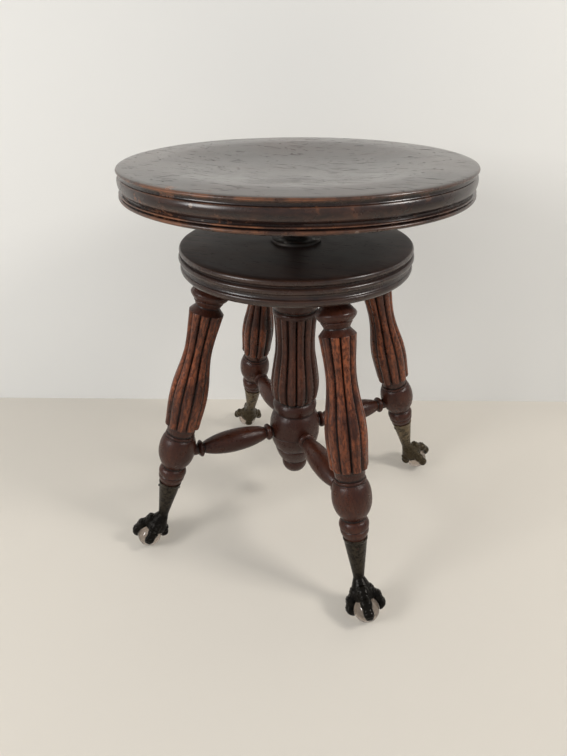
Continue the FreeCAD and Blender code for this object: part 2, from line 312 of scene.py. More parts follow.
def note_grain(mesh: bmesh.types.BMesh, shift: float) -> None:
    """Keep each vertex's place before the piece is tilted, for grain that follows the piece.

    Args:
        mesh: Mesh in millimetres, still upright.
        shift: Distance that makes this piece's grain its own.
    """
    layer = mesh.verts.layers.float_vector.new("grain")
    offset = Vector((shift, 2.0 * shift, 3.0 * shift))
    for vert in mesh.verts:
        vert[layer] = vert.co * MM + offset


def note_wear(mesh: bmesh.types.BMesh, middle: float, spread: float) -> None:
    """Keep how far each vertex faces upwards, and how near it is to the side worn most.

    Args:
        mesh: Mesh in its place.
        middle: Azimuth in degrees of the side that is worn most.
        spread: Angle in degrees at which the wear has faded to a third.
    """
    upward = mesh.verts.layers.float.new("upward")
    worn = mesh.verts.layers.float.new("worn")
    mesh.normal_update()
    for vert in mesh.verts:
        vert[upward] = smooth_step(0.8, 0.97, vert.normal.z)
        off = (math.degrees(azimuth(vert.co)) - middle + 180.0) % 360.0 - 180.0
        vert[worn] = 0.2 + 0.8 * math.exp(-(off / spread) ** 2)


class Workshop:
    """Turns finished meshes into objects that ride on a body and stand for CAD nodes."""

    def __init__(self) -> None:
        """Start with no pieces."""
        self.pieces: list[bpy.types.Object] = []

    def finish(self, mesh: bmesh.types.BMesh, name: str, finish: "Finish", body: Body,
               nodes: Sequence[str], sharp: float = 40.0) -> bpy.types.Object:
        """Make the object of one piece.

        Args:
            mesh: Mesh in millimetres, in its place. It is freed here.
            name: Name of the piece.
            finish: Finish of its surface.
            body: Body that it rides on.
            nodes: CAD nodes that it stands for.
            sharp: Angle in degrees above which an edge stays sharp.

        Returns:
            The object.
        """
        bmesh.ops.scale(mesh, vec=(MM, MM, MM), verts=mesh.verts)
        data = settle(mesh, name)
        data.shade_smooth()
        data.set_sharp_from_angle(angle=math.radians(sharp))
        piece = show(name, data)
        data.materials.append(finish.material())
        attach(piece, body.value)
        if nodes:
            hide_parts(*nodes)
        self.pieces.append(piece)
        LOG.info("%s: %d faces on %s", name, len(data.polygons), body.value)
        return piece


class Shader:
    """Short calls for building a node material."""

    def __init__(self, name: str) -> None:
        """Make an empty material with a Principled surface.

        Args:
            name: Name of the material.
        """
        self.material = bpy.data.materials.new(name)
        self.material.use_nodes = True
        self.tree = self.material.node_tree
        self.surface = self.tree.nodes["Principled BSDF"]
        self.output = self.tree.nodes["Material Output"]

    def node(self, kind: str, inputs: dict | None = None, **settings: object) -> bpy.types.Node:
        """Add a node.

        Args:
            kind: Node type.
            inputs: Socket name or number, and a value or a socket to link.
            settings: Properties of the node.

        Returns:
            The node.
        """
        node = self.tree.nodes.new(kind)
        for key, value in settings.items():
            setattr(node, key, value)
        for key, value in (inputs or {}).items():
            self.put(node.inputs[key], value)
        return node

    def put(self, socket: bpy.types.NodeSocket, value: Value | Sequence[float]) -> None:
        """Link a socket to another, or set its value.

        Args:
            socket: Input socket.
            value: Value, or the output socket to link.
        """
        if isinstance(value, bpy.types.NodeSocket):
            self.tree.links.new(value, socket)
        else:
            socket.default_value = value

    def place(self, stretch: Colour = (1.0, 1.0, 1.0), turn: Colour = (0.0, 0.0, 0.0),
              source: bpy.types.NodeSocket | None = None) -> bpy.types.NodeSocket:
        """Coordinates, stretched and turned.

        Args:
            stretch: Factor along each axis.
            turn: Angles in degrees.
            source: Coordinates to use; Object coordinates if left out.

        Returns:
            The vector socket.
        """
        base = source or self.node("ShaderNodeTexCoord").outputs["Object"]
        angles = tuple(math.radians(angle) for angle in turn)
        return self.node("ShaderNodeMapping", {"Vector": base, "Scale": stretch,
                                               "Rotation": angles}).outputs["Vector"]

    def attribute(self, name: str) -> bpy.types.Node:
        """Node that reads one of the mesh's own attributes."""
        return self.node("ShaderNodeAttribute", attribute_name=name)

    def noise(self, place: bpy.types.NodeSocket, scale: float, detail: float = 3.0,
              roughness: float = 0.55) -> bpy.types.NodeSocket:
        """Noise pattern, scale in waves per metre."""
        return self.node("ShaderNodeTexNoise", {"Vector": place, "Scale": scale, "Detail": detail,
                                                "Roughness": roughness}).outputs["Fac"]

    def cells(self, place: bpy.types.NodeSocket, scale: float) -> bpy.types.NodeSocket:
        """Distance from the points of a scattered pattern."""
        return self.node("ShaderNodeTexVoronoi", {"Vector": place, "Scale": scale}).outputs["Distance"]

    def span(self, value: bpy.types.NodeSocket, low: float, high: float, start: float = 0.0,
             end: float = 1.0) -> bpy.types.NodeSocket:
        """Soft step of a value, from start at low to end at high.

        Args:
            value: Value to step.
            low: Value at which the result is start.
            high: Value at which the result is end.
            start: Result at low.
            end: Result at high.

        Returns:
            The stepped value.
        """
        return self.node("ShaderNodeMapRange", {"Value": value, "From Min": low, "From Max": high,
                                                "To Min": start, "To Max": end},
                         interpolation_type="SMOOTHSTEP").outputs["Result"]

    def math(self, operation: str, a: Value, b: Value) -> bpy.types.NodeSocket:
        """Arithmetic of two values."""
        return self.node("ShaderNodeMath", {0: a, 1: b}, operation=operation).outputs[0]

    def plus(self, a: Value, b: Value) -> bpy.types.NodeSocket:
        """Sum of two values."""
        return self.math("ADD", a, b)

    def times(self, a: Value, b: Value) -> bpy.types.NodeSocket:
        """Product of two values."""
        return self.math("MULTIPLY", a, b)

    def most(self, a: Value, b: Value) -> bpy.types.NodeSocket:
        """Greater of two values."""
        return self.math("MAXIMUM", a, b)

    def pointiness(self) -> bpy.types.NodeSocket:
        """How sharply the surface stands out, 0.5 where it is flat."""
        return self.node("ShaderNodeNewGeometry").outputs["Pointiness"]

    def blend(self, share: Value, low: bpy.types.NodeSocket | Colour,
              high: bpy.types.NodeSocket | Colour) -> bpy.types.NodeSocket:
        """Mix of two colours.

        Args:
            share: Share of the second colour.
            low: First colour, as three numbers or a socket.
            high: Second colour, as three numbers or a socket.

        Returns:
            The colour socket.
        """
        colours = [value if isinstance(value, bpy.types.NodeSocket) else (*value, 1.0)
                   for value in (low, high)]
        mix = self.node("ShaderNodeMix", data_type="RGBA")
        for index, value in ((0, share), (6, colours[0]), (7, colours[1])):
            self.put(mix.inputs[index], value)
        return mix.outputs[2]

    def bump(self, height: bpy.types.NodeSocket, depth: float, strength: float = 1.0,
             normal: bpy.types.NodeSocket | None = None) -> bpy.types.NodeSocket:
        """Bumped normal.

        Args:
            height: Height pattern from 0 to 1.
            depth: Depth in metres.
            strength: Share of the effect.
            normal: Normal to add it to.

        Returns:
            The normal socket.
        """
        node = self.node("ShaderNodeBump", {"Height": height, "Distance": depth,
                                            "Strength": strength})
        if normal is not None:
            self.put(node.inputs["Normal"], normal)
        return node.outputs["Normal"]


@dataclass(frozen=True)
class Finish:
    """Finish of a surface. Each kind builds its own shader in paint()."""

    name: str
    slot: str

    def material(self) -> bpy.types.Material:
        """The finish's material, made once.

        Returns:
            The material.
        """
        made = bpy.data.materials.get(self.name)
        if made is None:
            shader = Shader(self.name)
            self.paint(shader)
            made = shader.material
        return made

    def paint(self, shader: Shader) -> None:
        """Build the shader."""
        raise NotImplementedError


@dataclass(frozen=True)
class BoardVarnish(Finish):
    """Old dark varnish on a turned board, with scratches, dents and rubbed edges."""

    dark: Colour = (0.016, 0.010, 0.009)
    warm: Colour = (0.050, 0.022, 0.015)
    rubbed: Colour = (0.280, 0.105, 0.042)
    scuff: Colour = (0.210, 0.150, 0.115)
    scratch: Colour = (0.006, 0.004, 0.003)
    edge_radius: float = 0.170
    wear: float = 0.9
    gloss: float = 0.11
    dull_top: float = 0.0
    dull_edge: float = 0.11
    scratches: float = 0.7

    def paint(self, shader: Shader) -> None:
        """Patchy varnish, grain, scratches in several directions, wear on the edges.

        Args:
            shader: Material that it is painted in.
        """
        here = shader.place()
        grain = shader.noise(shader.place((1.5, 26.0, 26.0), (0, 0, 12)), 9.0, 5.0, 0.6)
        patches = shader.noise(here, 9.0, 4.0, 0.6)
        tone = shader.plus(shader.times(grain, 0.45), shader.times(patches, 0.55))
        colour = shader.blend(shader.span(tone, 0.42, 0.68), self.dark, self.warm)
        marks = shader.times(self.scratch_marks(shader), self.scratches)
        colour = shader.blend(marks, colour, self.scratch)
        rub = self.rubbing(shader)
        colour = shader.blend(rub, colour, self.rubbed)
        upward = shader.attribute("upward").outputs["Fac"]
        places = shader.times(shader.span(shader.noise(here, 26.0, 2.0), 0.52, 0.57),
                              shader.math("SUBTRACT", 1.0, upward))
        nicks = shader.times(shader.span(shader.cells(here, 62.0), 0.14, 0.09), places)
        colour = shader.blend(shader.times(nicks, self.wear), colour, self.scuff)
        shader.put(shader.surface.inputs["Base Color"], colour)
        haze = shader.noise(here, 22.0, 5.0, 0.65)
        rough = shader.plus(shader.span(haze, 0.35, 0.7, self.gloss, self.gloss + 0.07),
                            shader.span(upward, 0.0, 1.0, self.dull_edge, self.dull_top))
        rough = shader.plus(rough, shader.times(rub, 0.25))
        shader.put(shader.surface.inputs["Roughness"], shader.plus(rough, shader.times(marks, 0.45)))
        fine = shader.noise(here, 420.0, 4.0, 0.6)
        normal = shader.bump(grain, 0.00018, 0.25)
        normal = shader.bump(fine, 0.00006, 0.25, normal)
        normal = shader.bump(shader.math("SUBTRACT", 1.0, marks), 0.00020, 0.8, normal)
        shader.put(shader.surface.inputs["Normal"], normal)
        shader.put(shader.surface.inputs["Specular IOR Level"],
                   shader.span(marks, 0.0, 1.0, 0.5, 0.03))

    def rubbing(self, shader: Shader) -> bpy.types.NodeSocket:
        """Where varnish is rubbed off the edge's ridges or chipped, most on the worn side.

        Args:
            shader: Material that it is painted in.

        Returns:
            The mask.
        """
        radius = shader.node("ShaderNodeVectorMath", {0: shader.place((1.0, 1.0, 0.0))},
                             operation="LENGTH").outputs["Value"]
        rim = shader.span(radius, self.edge_radius - 0.012, self.edge_radius + 0.004)
        spots = shader.noise(shader.place(), 34.0, 6.0, 0.7)
        side = shader.attribute("worn").outputs["Fac"]
        ridge = shader.times(shader.span(shader.pointiness(), 0.502, 0.53), rim)
        rub = shader.times(ridge, shader.times(shader.span(spots, 0.40, 0.60, 0.15, self.wear), side))
        chip = shader.times(rim, shader.times(shader.span(spots, 0.58, 0.67, 0.0, 0.75), side))
        return shader.most(rub, shader.times(chip, self.wear))

    def scratch_marks(self, shader: Shader) -> bpy.types.NodeSocket:
        """Thin scratches and small dents, as a mask.

        Args:
            shader: Material that it is painted in.

        Returns:
            The mask.
        """
        total = None
        for angle, across, along in ((8, 330.0, 29.0), (-34, 380.0, 35.0), (61, 350.0, 41.0),
                                     (100, 420.0, 47.0)):
            line = shader.noise(shader.place((along, across, 1.0), (0, 0, angle)), 1.0, 1.5, 0.5)
            thin = shader.span(line, 0.71, 0.74)
            total = thin if total is None else shader.most(total, thin)
        dents = shader.span(shader.cells(shader.place((1.0, 1.7, 1.0), (0, 0, 30)), 95.0), 0.17, 0.12)
        rare = shader.span(shader.noise(shader.place(), 30.0, 2.0), 0.50, 0.56)
        marks = shader.most(total, shader.times(dents, rare))
        return shader.times(marks, shader.attribute("upward").outputs["Fac"])


@dataclass(frozen=True)
class TurnedVarnish(Finish):
    """Red-brown varnished wood with painted shade darkening its grooves and hollows."""

    light: Colour = (0.300, 0.086, 0.034)
    deep: Colour = (0.035, 0.0108, 0.0066)
    # Colour of the pores, and of the painted shade in the grooves and hollows.
    dark: Colour = (0.006, 0.0045, 0.004)
    gloss: float = 0.32

    def paint(self, shader: Shader) -> None:
        """Grain along the piece, painted shade in the grooves and hollows, lighter ridges, crazed varnish.

        Args:
            shader: Material that it is painted in.
        """
        along = shader.attribute("grain").outputs["Vector"]
        grain = shader.noise(shader.place((60.0, 60.0, 5.0), source=along), 4.0, 6.0, 0.65)
        pores = shader.noise(shader.place((420.0, 420.0, 30.0), source=along), 2.2, 3.0, 0.6)
        patches = shader.noise(shader.place((1.0, 1.0, 0.55), source=along), 38.0, 4.0, 0.6)
        tone = shader.plus(shader.times(grain, 0.4), shader.times(patches, 0.6))
        height = shader.plus(shader.times(shader.attribute("land").outputs["Fac"], 0.75), 0.12)
        land = shader.times(shader.span(tone, 0.37, 0.62), height)
        colour = shader.blend(land, self.deep, self.light)
        crust = shader.noise(shader.place((1.0, 1.0, 0.5), source=along), 400.0, 4.0, 0.6)
        colour = shader.blend(shader.span(crust, 0.43, 0.60, 0.0, 0.75), colour, self.deep)
        colour = shader.blend(shader.span(pores, 0.60, 0.72, 0.0, 0.55), colour, self.dark)
        # Painted shade: hollows (low pointiness) and the depth of the reed grooves darken the colour
        # towards the dark colour.
        hollow_shade = shader.span(shader.pointiness(), 0.495, 0.455)
        carve = shader.attribute("carve").outputs["Fac"]
        shade = shader.most(shader.times(hollow_shade, 0.85), shader.span(carve, 0.25, 0.85, 0.0, 0.92))
        colour = shader.blend(shade, colour, self.dark)
        shader.put(shader.surface.inputs["Base Color"], colour)
        haze = shader.noise(shader.place(source=along), 90.0, 4.0, 0.6)
        shader.put(shader.surface.inputs["Roughness"],
                   shader.span(haze, 0.3, 0.7, self.gloss - 0.08, self.gloss + 0.10))
        crazing = shader.cells(shader.place((1.0, 1.0, 0.6), source=along), 620.0)
        normal = shader.bump(crazing, 0.00012, 0.35)
        normal = shader.bump(grain, 0.00035, 0.4, normal)
        normal = shader.bump(pores, 0.0001, 0.3, normal)
        normal = shader.bump(crust, 0.0006, 0.5, normal)
        shader.put(shader.surface.inputs["Normal"], normal)
        shader.surface.inputs["Specular IOR Level"].default_value = 0.31


@dataclass(frozen=True)
class CastBronze(Finish):
    """Cast ferrule and claws: olive bronze that darkens to black on the claws."""

    fresh: Colour = (0.105, 0.088, 0.058)
    dull: Colour = (0.036, 0.030, 0.022)
    black: Colour = (0.008, 0.0065, 0.005)
    black_top: float = 0.066
    black_full: float = 0.042

    def paint(self, shader: Shader) -> None:
        """Olive mottling, black in the hollows and towards the claws.

        Args:
            shader: Material that it is painted in.
        """
        here = shader.place()
        mottle = shader.noise(here, 160.0, 5.0, 0.65)
        colour = shader.blend(shader.span(mottle, 0.38, 0.66), self.dull, self.fresh)
        height = shader.node("ShaderNodeSeparateXYZ", {"Vector": here}).outputs["Z"]
        low = shader.span(height, self.black_top, self.black_full, 0.0, 0.93)
        point = shader.pointiness()
        bare = shader.times(shader.span(point, 0.53, 0.62), 0.35)
        shade = shader.math("SUBTRACT", shader.most(low, shader.span(point, 0.50, 0.45)), bare)
        colour = shader.blend(shade, colour, self.black)
        shader.put(shader.surface.inputs["Base Color"], colour)
        shader.surface.inputs["Metallic"].default_value = 0.4
        shader.surface.inputs["Specular IOR Level"].default_value = 0.18
        shader.put(shader.surface.inputs["Roughness"], shader.span(mottle, 0.3, 0.7, 0.20, 0.42))
        normal = shader.bump(shader.noise(here, 900.0, 4.0, 0.6), 0.0002, 0.5)
        shader.put(shader.surface.inputs["Normal"], shader.bump(mottle, 0.0003, 0.3, normal))


@dataclass(frozen=True)
class Iron(Finish):
    """Dark iron or steel, from rough castings to an oiled screw."""

    tint: Colour = (0.060, 0.055, 0.050)
    rust: Colour = (0.075, 0.036, 0.020)
    rough: float = 0.5
    grit: float = 260.0

    def paint(self, shader: Shader) -> None:
        """Mottled metal with a little rust in patches.

        Args:
            shader: Material that it is painted in.
        """
        here = shader.place()
        mottle = shader.noise(here, self.grit, 5.0, 0.65)
        stain = shader.noise(here, 70.0, 4.0, 0.6)
        colour = shader.blend(shader.span(stain, 0.48, 0.70), self.tint, self.rust)
        shader.put(shader.surface.inputs["Base Color"], colour)
        shader.surface.inputs["Metallic"].default_value = 0.85
        shader.put(shader.surface.inputs["Roughness"],
                   shader.span(mottle, 0.3, 0.7, self.rough - 0.08, self.rough + 0.12))
        shader.put(shader.surface.inputs["Normal"], shader.bump(mottle, 0.00025, 0.4))


@dataclass(frozen=True)
class ClearGlass(Finish):
    """Old clear glass with a faint pink-grey tint."""

    tint: Colour = (0.54, 0.465, 0.415)

    def paint(self, shader: Shader) -> None:
        """Clear glass with slight waves and a scuffed skin.

        Args:
            shader: Material that it is painted in.
        """
        here = shader.place()
        shader.surface.inputs["Base Color"].default_value = (*self.tint, 1.0)
        shader.surface.inputs["Transmission Weight"].default_value = 1.0
        shader.surface.inputs["IOR"].default_value = 1.5
        scuff = shader.noise(here, 300.0, 5.0, 0.7)
        shader.put(shader.surface.inputs["Roughness"], shader.span(scuff, 0.45, 0.75, 0.02, 0.14))
        shader.put(shader.surface.inputs["Normal"],
                   shader.bump(shader.noise(here, 60.0, 2.0), 0.0006, 0.25))


SEAT_VARNISH = BoardVarnish("seat_varnish", "seat_wood")
DISC_VARNISH = BoardVarnish("disc_varnish", "disc_wood", warm=(0.042, 0.020, 0.014), edge_radius=0.120,
                            wear=0.12, gloss=0.18, dull_top=0.28, dull_edge=0.06, scratches=0.3)
TURNED_VARNISH = TurnedVarnish("turned_varnish", "turned_wood")
COLUMN_VARNISH = TurnedVarnish("column_varnish", "turned_wood", light=(0.110, 0.038, 0.021))
FRONT_BRONZE = CastBronze("front_bronze", "bronze", fresh=(0.046, 0.036, 0.024),
                          dull=(0.015, 0.0115, 0.008), black=(0.004, 0.003, 0.002))
BACK_BRONZE = CastBronze("back_bronze", "bronze", fresh=(0.190, 0.140, 0.080), dull=(0.060, 0.046, 0.028),
                         black=(0.046, 0.034, 0.018))
CAST_IRON = Iron("rough_iron", "cast_iron")
SPINDLE_STEEL = Iron("oiled_spindle", "spindle_steel", tint=(0.20, 0.19, 0.18), rough=0.34, grit=500.0)
SCREW_STEEL = Iron("slotted_screws", "screw_steel", tint=(0.16, 0.15, 0.14), rough=0.42)
NAIL_IRON = Iron("black_nails", "nail_iron", tint=(0.03, 0.026, 0.022), rough=0.6)
GLASS = ClearGlass("ball_glass", "glass")


@dataclass
class SeatBoard:
    """Turned seat board with a moulded edge and a shallow dish."""

    radius: float = 177.8
    top: float = 461.5
    thick: float = 28.9
    dish_radius: float = 134.0
    dish_depth: float = 8.0

    def outline(self) -> Outline:
        """Outline of the board from the axis on top to the axis below.

        Returns:
            The outline.
        """
        t = self.top
        r = self.radius
        d = self.dish_depth
        shape = Outline(0.0, t - d)
        shape.flow((30.0, t - d * 0.95), (60.0, t - d * 0.8), (90.0, t - d * 0.52), (114.0, t - d * 0.25),
                   (self.dish_radius, t - d * 0.05), (146.0, t), parts=8)
        shape.line((r - 3.4, t))
        shape.flow((r - 1.2, t - 0.5), (r - 0.1, t - 2.0), (r - 0.7, t - 3.6), parts=4)
        shape.line((r - 2.6, t - 4.2), (r - 3.0, t - 5.6), (r - 2.6, t - 6.8))
        shape.flow((r - 1.2, t - 7.6), (r - 0.2, t - 10.0), (r, t - 13.0), (r - 0.5, t - 16.4),
                   (r - 2.0, t - 18.9), parts=5)
        shape.line((r - 3.4, t - 20.1), (r - 3.4, t - 21.2))
        shape.flow((r - 1.0, t - 21.8), (r - 0.2, t - 22.6), (r - 1.0, t - 23.5), parts=3)
        shape.line((r - 2.2, t - 24.1))
        shape.flow((r - 0.3, t - 24.9), (r + 0.4, t - 26.2), (r - 0.4, t - 27.8),
                   (r - 2.6, t - self.thick), parts=4)
        return shape.line((0.0, t - self.thick))

    def build(self, shop: Workshop) -> None:
        """Make the seat.

        Args:
            shop: Workshop that finishes pieces.
        """
        mesh = Lathe(sides=256, longest=5.0).turn(self.outline())
        note_wear(mesh, WORN_SIDE, WORN_SPREAD)
        wander(mesh, amount=0.35, size=55.0, seed=1.0)
        shop.finish(mesh, "seat_board", SEAT_VARNISH, Body.SEAT, ["seat"], sharp=50.0)


@dataclass
class BaseDisc:
    """Turned disc under the seat with two beads, a cove and a band on its edge."""

    radius: float = 127.3
    top: float = 379.0
    thick: float = 27.0
    bore: float = 13.6

    def outline(self) -> Outline:
        """Outline of the disc from its bore on top round to the bore again.

        Returns:
            The outline.
        """
        t = self.top
        r = self.radius
        shape = Outline(self.bore, t).line((r - 5.0, t))
        shape.flow((r - 2.6, t - 0.6), (r - 1.3, t - 2.4), (r - 1.4, t - 4.6), (r - 2.4, t - 6.4),
                   parts=4)
        shape.line((r - 3.8, t - 7.4), (r - 3.8, t - 8.2))
        shape.flow((r - 1.4, t - 8.8), (r - 0.1, t - 10.2), (r, t - 12.0), (r - 0.7, t - 13.6),
                   parts=4)
        shape.line((r - 3.2, t - 14.6), (r - 3.6, t - 15.4))
        shape.flow((r - 3.9, t - 16.8), (r - 3.4, t - 18.8), parts=3)
        shape.line((r - 2.8, t - 19.6))
        shape.flow((r - 1.5, t - 20.4), (r - 1.0, t - 22.6), (r - 1.5, t - 24.8),
                   (r - 3.2, t - self.thick), parts=4)
        return shape.line((self.bore, t - self.thick), (self.bore, t))

    def build(self, shop: Workshop) -> None:
        """Make the disc.

        Args:
            shop: Workshop that finishes pieces.
        """
        mesh = Lathe(sides=224, longest=5.0).turn(self.outline())
        note_wear(mesh, WORN_SIDE, WORN_SPREAD)
        wander(mesh, amount=0.2, size=50.0, seed=2.0)
        shop.finish(mesh, "base_disc_board", DISC_VARNISH, Body.BASE, ["base_disc"], sharp=50.0)


@dataclass
class CentreColumn:
    """Reeded vase with a cup above, and a collar, a ball and a drop below."""

    disc_bottom: float = 352.0
    reed_top: float = 293.4
    reed_end: float = 177.4
    reeds: int = 14
    nut_bore: float = 13.6
    bore: float = 12.6
    bore_bottom: float = 203.5

    def column_outline(self) -> Outline:
        """Outline of the column: up its bore and down its outside.

        Returns:
            The outline.
        """
        shape = Outline(0.0, self.bore_bottom).line((self.bore, self.bore_bottom), (self.bore, 339.0))
        shape.line((self.nut_bore, 339.0), (self.nut_bore, self.disc_bottom + 0.5))
        shape.line((24.0, self.disc_bottom + 0.5), (24.0, 347.0))
        shape.flow((26.0, 343.6), (29.6, 339.0), (31.6, 330.0), (31.6, 320.0), (30.5, 312.0),
                   (28.6, 306.0), (26.1, 301.8), parts=4)
        shape.line((25.2, 301.0), (25.2, 299.8))
        shape.flow((26.4, 298.8), (26.9, 297.2), (26.4, 295.4), parts=3)
        shape.line((26.6, 294.4), (26.6, self.reed_top + 0.3), (26.0, self.reed_top))
        shape.flow((25.2, 284.0), (24.4, 271.0), (24.1, 258.0), (24.6, 244.5), (26.6, 231.0),
                   (28.7, 217.0), (30.3, 202.5), (30.3, 193.0), (29.4, 185.0), (28.4, 181.0), parts=6)
        shape.line((26.0, 178.4), (24.4, self.reed_end), (24.2, 175.4))
        shape.flow((25.6, 173.8), (27.4, 170.4), (27.8, 167.2), (27.2, 163.6), (26.0, 160.4), parts=4)
        shape.line((25.2, 159.4), (25.4, 158.6))
        shape.flow((28.6, 153.6), (31.2, 146.0), (32.4, 137.4), (32.5, 129.0), parts=5)
        shape.line((32.0, 128.4), (32.0, 127.6), (32.4, 127.0))
        shape.flow((31.4, 119.0), (29.4, 111.6), (27.4, 106.8), (26.4, 105.2), parts=5)
        return shape.line((25.2, 104.4), (0.0, 104.4))

    def drop_outline(self) -> Outline:
        """Outline of the drop under the column.

        Returns:
            The outline.
        """
        shape = Outline(0.0, 104.3).line((25.0, 104.3), (25.8, 103.2))
        shape.flow((25.4, 100.4), (24.4, 96.8), (22.8, 92.0), (20.4, 86.6), (17.8, 82.8), parts=4)
        shape.line((16.4, 81.8), (15.4, 81.0), (15.4, 80.2))
        shape.flow((16.2, 78.6), (16.6, 75.6), (15.7, 70.0), (12.6, 64.4), (7.6, 60.6), (2.4, 59.1),
                   parts=5)
        return shape.line((0.0, 59.0))

    def build(self, shop: Workshop) -> None:
        """Make the column and its drop.

        Args:
            shop: Workshop that finishes pieces.
        """
        lathe = Lathe(sides=self.reeds * 16, longest=3.0)
        column = lathe.turn(self.column_outline())
        Reeding(self.reeds, depth=2.5, groove=0.30, top=self.reed_top, bottom=self.reed_end - 0.1,
                core=20.6).carve(column)
        note_grain(column, shift=0.31)
        wander(column, amount=0.25, size=26.0, seed=3.0)
        shop.finish(column, "column_turning", COLUMN_VARNISH, Body.BASE, ["center_column"])
        drop = Lathe(sides=128, longest=3.0).turn(self.drop_outline())
        note_grain(drop, shift=0.31)
        shop.finish(drop, "drop_turning", COLUMN_VARNISH, Body.BASE, ["drop_finial"])


@dataclass
class LegAxis:
    """Line that each leg is turned about, in the leg's own upright plane."""

    splay: float = 16.36
    top: float = 354.5
    out: float = 93.0

    def placement(self, corner: Corner) -> Matrix:
        """Matrix from a mesh turned down the Z axis to the leg's place.

        Args:
            corner: Which leg.

        Returns:
            The matrix, in millimetres.
        """
        tilt = Matrix.Rotation(math.radians(-self.splay), 4, "Y")
        across = Matrix.Translation((self.out, 0.0, self.top))
        return turn_z(corner.value) @ across @ tilt

    def at(self, distance: float) -> Vector:
        """Point on the leg's axis at azimuth 0, at a distance from its top."""
        lean = math.radians(self.splay)
        return Vector((self.out + distance * math.sin(lean), 0.0, self.top - distance * math.cos(lean)))


@dataclass
class Leg:
    """One leg turning: mushroom cap, reeded vase, ball, collar."""

    corner: Corner
    axis: LegAxis = field(default_factory=LegAxis)
    reeds: int = 10
    reed_top: float = -44.0
    reed_end: float = -188.0
    disc_bottom: float = 352.0

    def outline(self) -> Outline:
        """Outline of the leg, down from its top.

        Returns:
            The outline.
        """
        shape = Outline(0.0, 8.0).line((12.4, 8.0), (12.6, -9.0))
        shape.flow((13.6, -11.8), (15.8, -15.6), (18.9, -19.2), (21.0, -22.4), (20.7, -25.0),
                   (18.9, -27.6), (16.9, -29.8), parts=4)
        shape.line((16.1, -30.4))
        shape.flow((16.1, -31.6), (15.0, -33.4), (13.5, -36.6), parts=4)
        shape.line((13.8, -37.6))
        shape.flow((15.4, -39.4), (17.4, -41.6), (19.1, -43.6), parts=4)
        shape.line((19.5, -44.2), (19.4, -45.4), (19.0, -48.0))
        shape.flow((17.9, -60.0), (16.9, -70.0), (16.3, -80.0), (16.2, -90.0), (16.9, -100.0),
                   (18.1, -110.0), (19.7, -120.0), (21.3, -130.0), (22.3, -140.0), (22.8, -150.0),
                   (22.5, -160.0), (21.9, -170.0), (21.4, -179.0), (21.1, -185.6), parts=4)
        shape.line((20.6, -187.6), (17.8, -188.6), (17.0, -190.6), (16.8, -195.6), (16.0, -197.6),
                   (16.0, -199.4))
        shape.flow((17.2, -200.0), (17.6, -201.4), (17.2, -202.6), parts=3)
        shape.line((16.9, -203.2))
        shape.flow((19.2, -206.2), (21.0, -211.6), (22.0, -218.0), (22.1, -225.0), (21.1, -232.0),
                   (18.9, -238.4), (16.0, -243.4), (13.8, -246.2), parts=5)
        shape.line((13.1, -247.0), (13.3, -248.0))
        shape.flow((15.2, -249.6), (16.6, -252.8), (16.8, -256.0), (16.1, -259.2), parts=4)
        shape.line((15.3, -260.0))
        shape.flow((15.9, -261.0), (15.8, -263.4), (14.9, -266.4), (14.0, -268.4), parts=4)
        return shape.line((12.9, -269.2), (12.6, -271.4), (0.0, -271.4))

    def build(self, shop: Workshop) -> None:
        """Make the leg.

        Args:
            shop: Workshop that finishes pieces.
        """
        number = list(Corner).index(self.corner)
        mesh = Lathe(sides=self.reeds * 16, longest=3.0).turn(self.outline())
        Reeding(self.reeds, depth=2.2, groove=0.30, top=self.reed_top, bottom=self.reed_end,
                core=13.4).carve(mesh)
        note_grain(mesh, shift=0.07 + 0.11 * number)
        wander(mesh, amount=0.3, size=22.0, seed=4.0 + number)
        bmesh.ops.transform(mesh, matrix=self.axis.placement(self.corner), verts=mesh.verts)
        cut = bmesh.ops.bisect_plane(mesh, geom=everything(mesh), clear_outer=True, dist=1e-4,
                                     plane_co=(0, 0, self.disc_bottom + 0.4), plane_no=UP)
        rim = [edge for edge in cut["geom_cut"] if isinstance(edge, bmesh.types.BMEdge)]
        bmesh.ops.holes_fill(mesh, edges=rim, sides=0)
        bmesh.ops.recalc_face_normals(mesh, faces=mesh.faces)
        label = self.corner.label
        shop.finish(mesh, f"leg_turning_{label}", TURNED_VARNISH, Body.BASE, [f"leg_{label}"])


@dataclass
class Stretcher:
    """One cigar-shaped stretcher with a bead at each end."""

    corner: Corner
    height: float = 132.2

    def outline(self) -> Outline:
        """Outline from the column's end outwards.

        Returns:
            The outline.
        """
        shape = Outline(0.0, 28.0).line((6.9, 28.0), (6.9, 33.8))
        shape.flow((8.8, 34.6), (10.4, 36.2), (10.7, 38.0), (10.1, 39.8), (8.2, 41.2), parts=4)
        shape.line((7.2, 41.6), (7.2, 42.2), (7.9, 42.8))
        shape.flow((10.0, 48.0), (12.3, 58.0), (14.0, 70.0), (14.6, 82.0), (14.1, 94.0),
                   (12.5, 106.0), (10.0, 116.0), (7.9, 121.8), parts=5)
        shape.line((7.2, 122.6), (7.2, 123.6))
        shape.flow((8.8, 124.4), (10.4, 125.6), (10.7, 127.0), (10.0, 128.6), (8.2, 130.0), parts=4)
        return shape.line((6.9, 130.8), (6.9, 138.0), (0.0, 138.0))

    def build(self, shop: Workshop) -> None:
        """Make the stretcher.

        Args:
            shop: Workshop that finishes pieces.
        """
        number = list(Corner).index(self.corner)
        mesh = Lathe(sides=96, longest=3.0).turn(self.outline())
        note_grain(mesh, shift=0.6 + 0.13 * number)
        wander(mesh, amount=0.2, size=20.0, seed=9.0 + number)
        lie = Matrix.Translation((0.0, 0.0, self.height)) @ Matrix.Rotation(math.radians(90), 4, "Y")
        bmesh.ops.transform(mesh, matrix=turn_z(self.corner.value) @ lie, verts=mesh.verts)
        label = self.corner.label
        shop.finish(mesh, f"stretcher_turning_{label}", TURNED_VARNISH, Body.BASE, [f"stretcher_{label}"])


